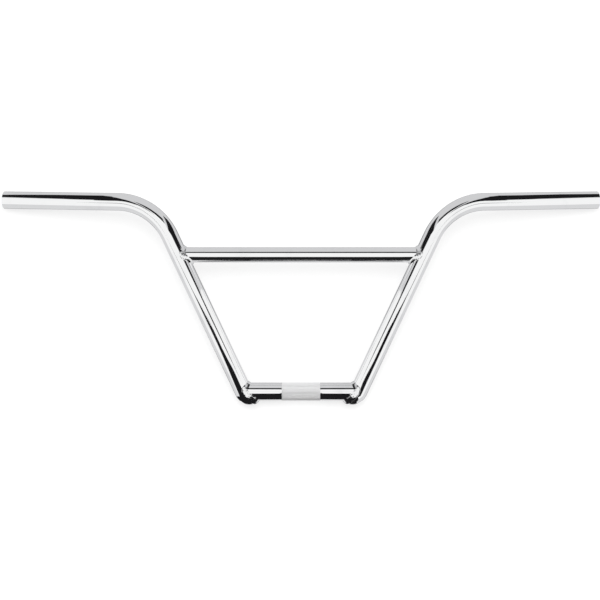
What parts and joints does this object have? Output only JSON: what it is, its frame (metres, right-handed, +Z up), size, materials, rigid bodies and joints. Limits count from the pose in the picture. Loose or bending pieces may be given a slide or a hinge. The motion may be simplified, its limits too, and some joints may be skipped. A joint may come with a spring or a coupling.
{
  "type": "bmx handlebar",
  "caption": "Welded BMX handlebar in polished chrome: bent leg tubes with swept-back grip ends, joined by a crossbar and by a knurled clamp tube for a stem.",
  "frame": {"origin": "middle of the clamp tube, on its axis, where the stem holds the bar", "axes": "+X along the clamp tube, to the right of the front view; +Y back towards the rider; +Z up, as the bar stands on a bicycle. Left and right in the names are those of the front view."},
  "size_m": [0.7618, 0.061, 0.2706],
  "materials": {
    "chrome": "polished chrome plate",
    "weld_chrome": "chrome plate over a rippled weld bead"
  },
  "bodies": {
    "root": {"left_leg": "chrome", "right_leg": "chrome", "crossbar": "chrome", "clamp_tube": "chrome", "left_foot_cap": "chrome", "right_foot_cap": "chrome", "crossbar_weld_left": "weld_chrome", "crossbar_weld_right": "weld_chrome", "clamp_weld_left": "weld_chrome", "clamp_weld_right": "weld_chrome"}
  },
  "joints": []
}
